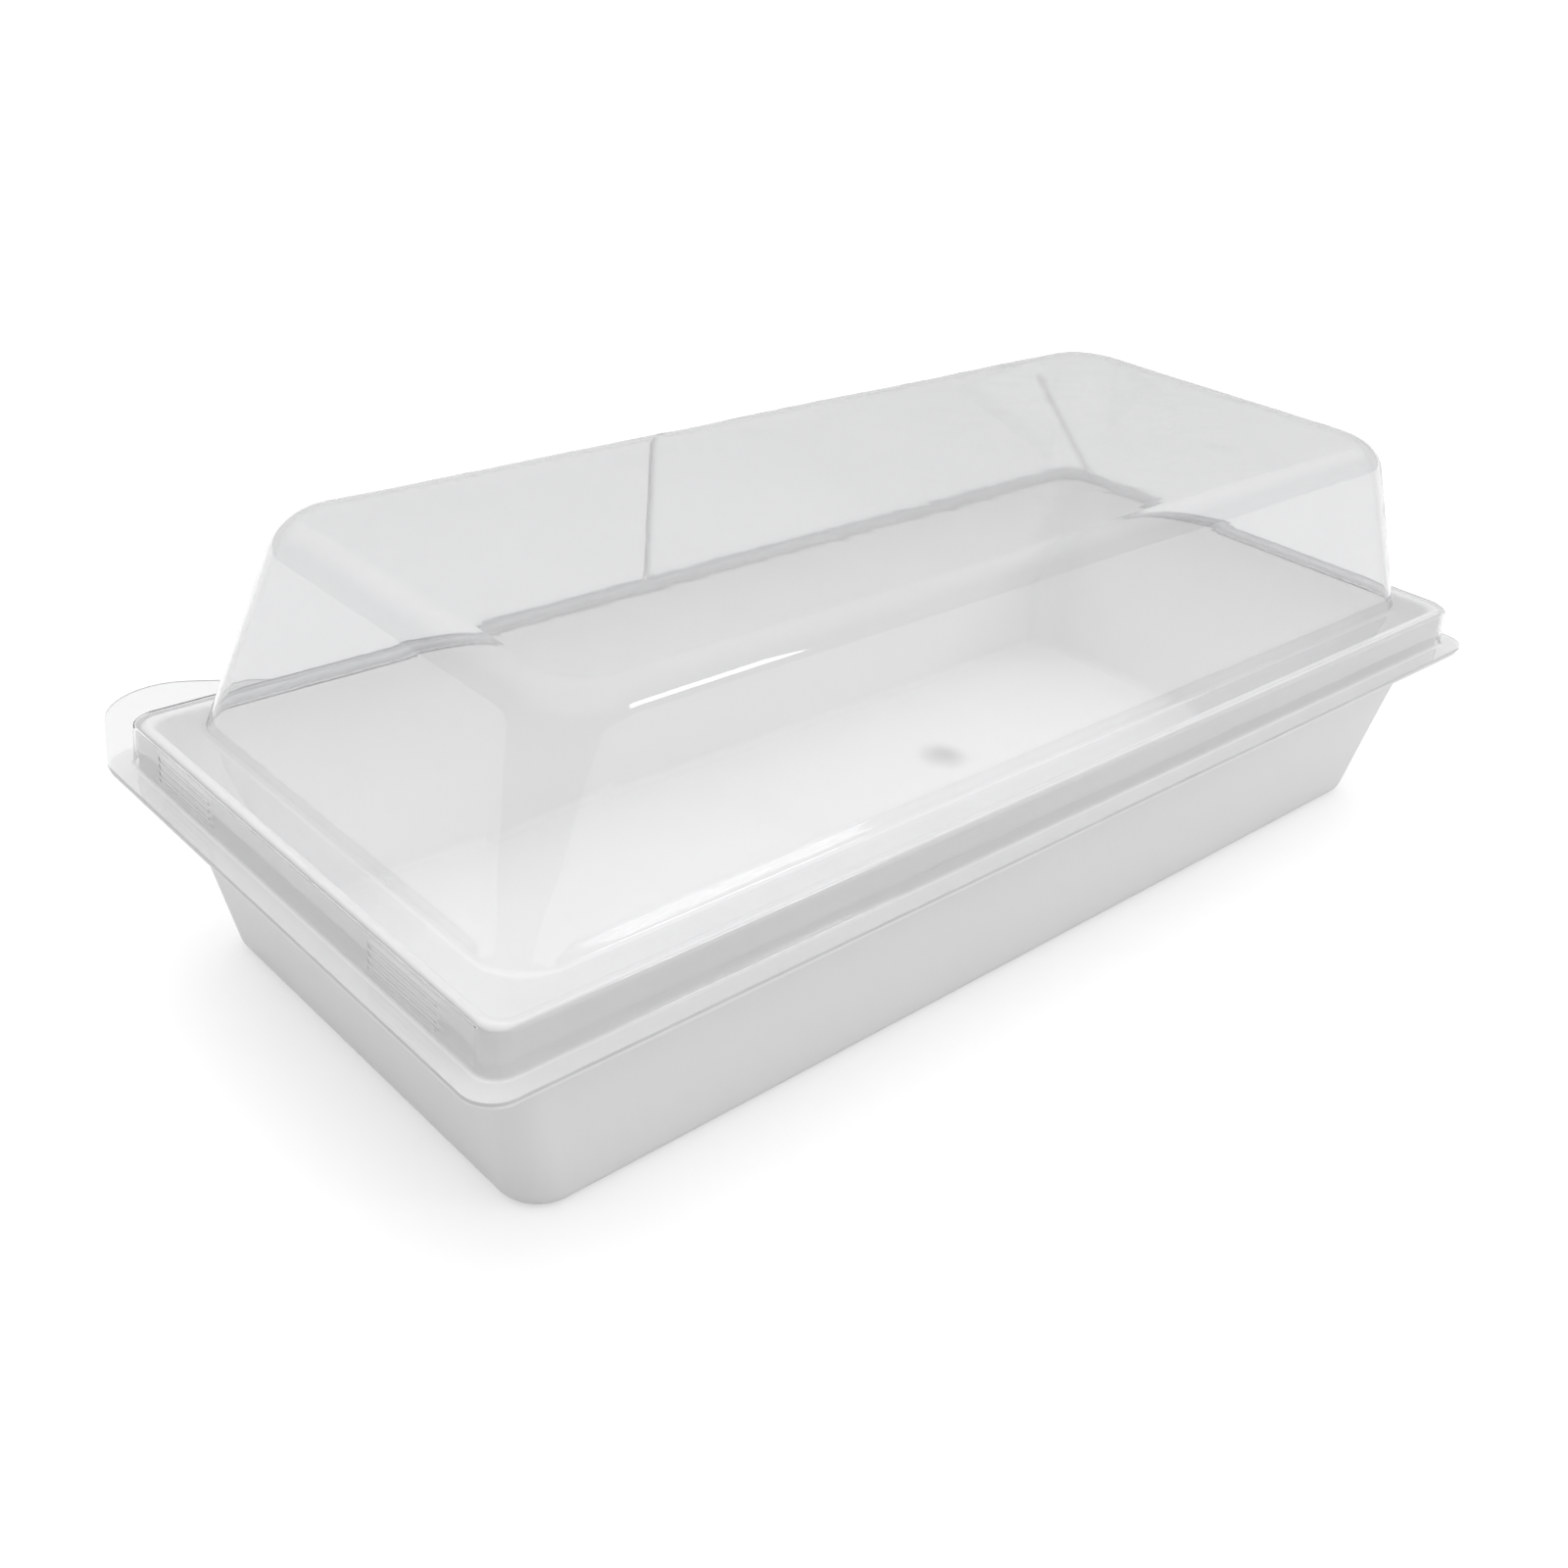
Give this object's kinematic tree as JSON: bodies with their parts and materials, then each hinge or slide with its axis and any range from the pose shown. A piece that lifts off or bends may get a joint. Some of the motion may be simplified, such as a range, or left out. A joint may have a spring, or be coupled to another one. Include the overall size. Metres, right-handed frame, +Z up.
{
  "type": "soap loaf mould",
  "caption": "Shallow tapered white tray with a flanged rim, and a clear domed lid that lifts off it, for casting and curing a soap loaf.",
  "frame": {"origin": "centre of the tray's foot, on the surface it stands on", "axes": "+X along the loaf, +Y towards the long side with the lid's thumb tab, +Z up, out of the mouth"},
  "size_m": [0.2376, 0.1246, 0.075],
  "materials": {
    "white_plastic": "satin white formed sheet",
    "clear_plastic": "clear glossy formed sheet"
  },
  "bodies": {
    "tray": {"tray": "white_plastic"},
    "lid": {"lid": "clear_plastic"}
  },
  "joints": [
    {"name": "lid_lift", "type": "slide", "parent": "tray", "child": "lid", "axis": [0, 0, 1], "range_m": [0, 0.08]}
  ]
}
